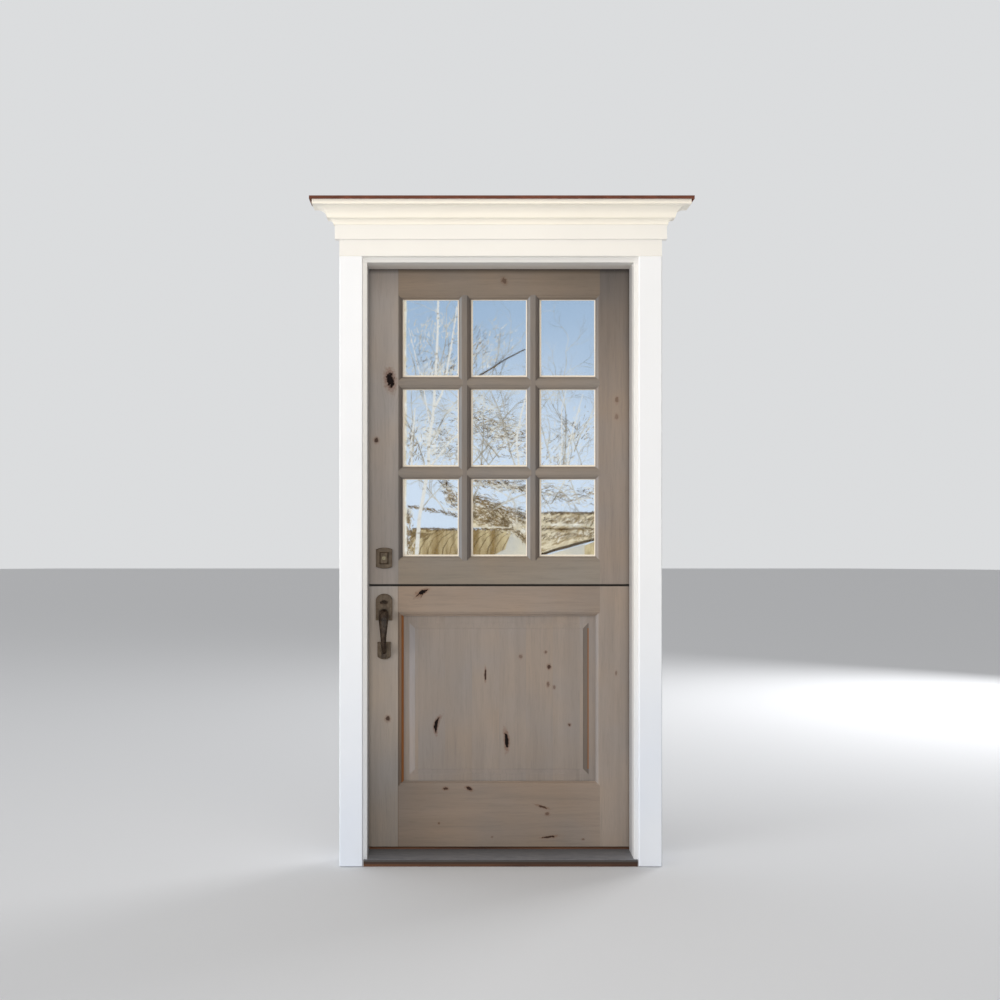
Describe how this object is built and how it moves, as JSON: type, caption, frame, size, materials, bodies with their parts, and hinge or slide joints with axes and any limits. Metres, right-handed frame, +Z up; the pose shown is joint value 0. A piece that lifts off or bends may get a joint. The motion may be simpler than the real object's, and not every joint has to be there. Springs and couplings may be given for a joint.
{
  "type": "dutch stable door",
  "caption": "Stable door in its frame: a glazed upper leaf over a raised-panel lower leaf, with deadbolt, grip latch, stay, sill and capped outside trim.",
  "frame": {"origin": "on the floor, at the middle of the opening, in the plane of the lining's front edges (the wall's outer face)", "axes": "+X to the right seen from outside, towards the hinges; +Y into the house; +Z up"},
  "size_m": [1.267, 0.3419, 2.2475],
  "materials": {
    "wood_upright": "grey translucent stain on knotty wood, grain upright",
    "wood_level": "grey translucent stain on knotty wood, grain level",
    "wood_panel": "grey translucent stain on knotty wood, grain upright",
    "wood_muntin": "grey translucent stain, grain upright",
    "wood_muntin_level": "grey translucent stain, grain level",
    "wood_bead": "grey translucent stain",
    "painted_jamb": "white paint, satin",
    "painted_trim": "white paint, satin",
    "cap_metal": "copper brown coating, semi-gloss",
    "sill_wood": "dark brown stain",
    "sill_metal": "grey anodised, satin",
    "seal": "matte",
    "dark_bronze": "oil-rubbed bronze, semi-gloss",
    "lock_collar": "aged",
    "lock_plug": "worn",
    "lock_steel": "brushed",
    "glass": "clear double glass with a blue-grey reflection"
  },
  "bodies": {
    "frame": {"jamb_strike": "painted_jamb", "jamb_hinge": "painted_jamb", "jamb_head": "painted_jamb", "stop_strike": "painted_jamb", "stop_hinge": "painted_jamb", "stop_head": "painted_jamb", "reveal_lining": "painted_trim", "sill_base": "sill_wood", "sill_deck": "sill_metal", "sill_riser": "sill_wood", "frame_seals": "seal", "casing_left": "painted_trim", "casing_right": "painted_trim", "casing_head": "painted_trim", "frieze_board": "painted_trim", "bed_moulding": "painted_trim", "crown_moulding": "painted_trim", "drip_cap": "cap_metal", "deadbolt_strike": "lock_steel", "latch_strike": "lock_steel", "hinge_frame_leaves": "dark_bronze", "hinge_pins": "dark_bronze"},
    "upper_leaf": {"upper_stile_lock": "wood_upright", "upper_stile_hinge": "wood_upright", "upper_top_rail": "wood_level", "upper_bottom_rail": "wood_level", "muntin_left": "wood_muntin", "muntin_right": "wood_muntin", "muntin_bars": "wood_muntin_level", "glass_row_top": "glass", "glass_row_middle": "glass", "glass_row_bottom": "glass", "glazing_beads": "wood_bead", "meeting_seal": "seal", "upper_hinge_leaves": "dark_bronze", "deadbolt_rose_outside": "dark_bronze", "deadbolt_cylinder": "lock_collar", "deadbolt_case": "lock_steel", "deadbolt_rose_inside": "dark_bronze", "quadrant_plate": "dark_bronze"},
    "lower_leaf": {"lower_stile_lock": "wood_upright", "lower_stile_hinge": "wood_upright", "lower_top_rail": "wood_level", "lower_bottom_rail": "wood_level", "raised_panel": "wood_panel", "bottom_sweep": "seal", "lower_hinge_leaves": "dark_bronze", "latch_case": "lock_steel", "grip_top_plate": "dark_bronze", "grip_handle": "dark_bronze", "grip_foot_plate": "dark_bronze", "knob_rose_inside": "dark_bronze", "quadrant_keeper": "dark_bronze"},
    "key_plug": {"key_plug": "lock_plug"},
    "deadbolt": {"deadbolt": "lock_steel"},
    "thumbturn": {"thumbturn": "dark_bronze"},
    "quadrant_arm": {"quadrant_arm": "dark_bronze"},
    "latch_bolt": {"latch_bolt": "lock_steel"},
    "thumb_piece": {"thumb_piece": "dark_bronze"},
    "inside_knob": {"inside_knob": "dark_bronze"}
  },
  "joints": [
    {"name": "upper_swing", "type": "hinge", "parent": "frame", "child": "upper_leaf", "pos_m": [0.4585, 0.1737, 1.4885], "axis": [0, 0, -1], "range_deg": [0, 165]},
    {"name": "lower_swing", "type": "hinge", "parent": "frame", "child": "lower_leaf", "pos_m": [0.4585, 0.1737, 0.487], "axis": [0, 0, -1], "range_deg": [0, 165]},
    {"name": "quadrant_turn", "type": "hinge", "parent": "upper_leaf", "child": "quadrant_arm", "pos_m": [-0.29, 0.172, 0.976], "axis": [0, 1, 0], "range_deg": [0, 90]},
    {"name": "thumbturn_turn", "type": "hinge", "parent": "upper_leaf", "child": "thumbturn", "pos_m": [-0.397, 0.18, 1.032], "axis": [0, 1, 0], "range_deg": [0, 90]},
    {"name": "key_plug_turn", "type": "hinge", "parent": "upper_leaf", "child": "key_plug", "pos_m": [-0.397, 0.12, 1.032], "axis": [0, 1, 0], "range_deg": [0, 90]},
    {"name": "deadbolt_throw", "type": "slide", "parent": "upper_leaf", "child": "deadbolt", "axis": [-1, 0, 0], "range_m": [0, 0.025]},
    {"name": "knob_turn", "type": "hinge", "parent": "lower_leaf", "child": "inside_knob", "pos_m": [-0.397, 0.18, 0.877], "axis": [0, 1, 0], "range_deg": [0, 50], "stiffness_Nm_per_rad": 0.8, "springref_deg": -11.46},
    {"name": "latch_retract", "type": "slide", "parent": "lower_leaf", "child": "latch_bolt", "axis": [1, 0, 0], "range_m": [0, 0.012]},
    {"name": "thumb_press", "type": "hinge", "parent": "lower_leaf", "child": "thumb_piece", "pos_m": [-0.397, 0.11945, 0.88], "axis": [1, 0, 0], "range_deg": [0, 14]}
  ],
  "couplings": [
    {"joint": "key_plug_turn", "follows": "thumbturn_turn", "ratio": 1},
    {"joint": "deadbolt_throw", "follows": "thumbturn_turn", "m_per_rad": 0.015915},
    {"joint": "latch_retract", "follows": "knob_turn", "m_per_rad": 0.013751},
    {"joint": "thumb_press", "follows": "knob_turn", "ratio": 0.28}
  ]
}
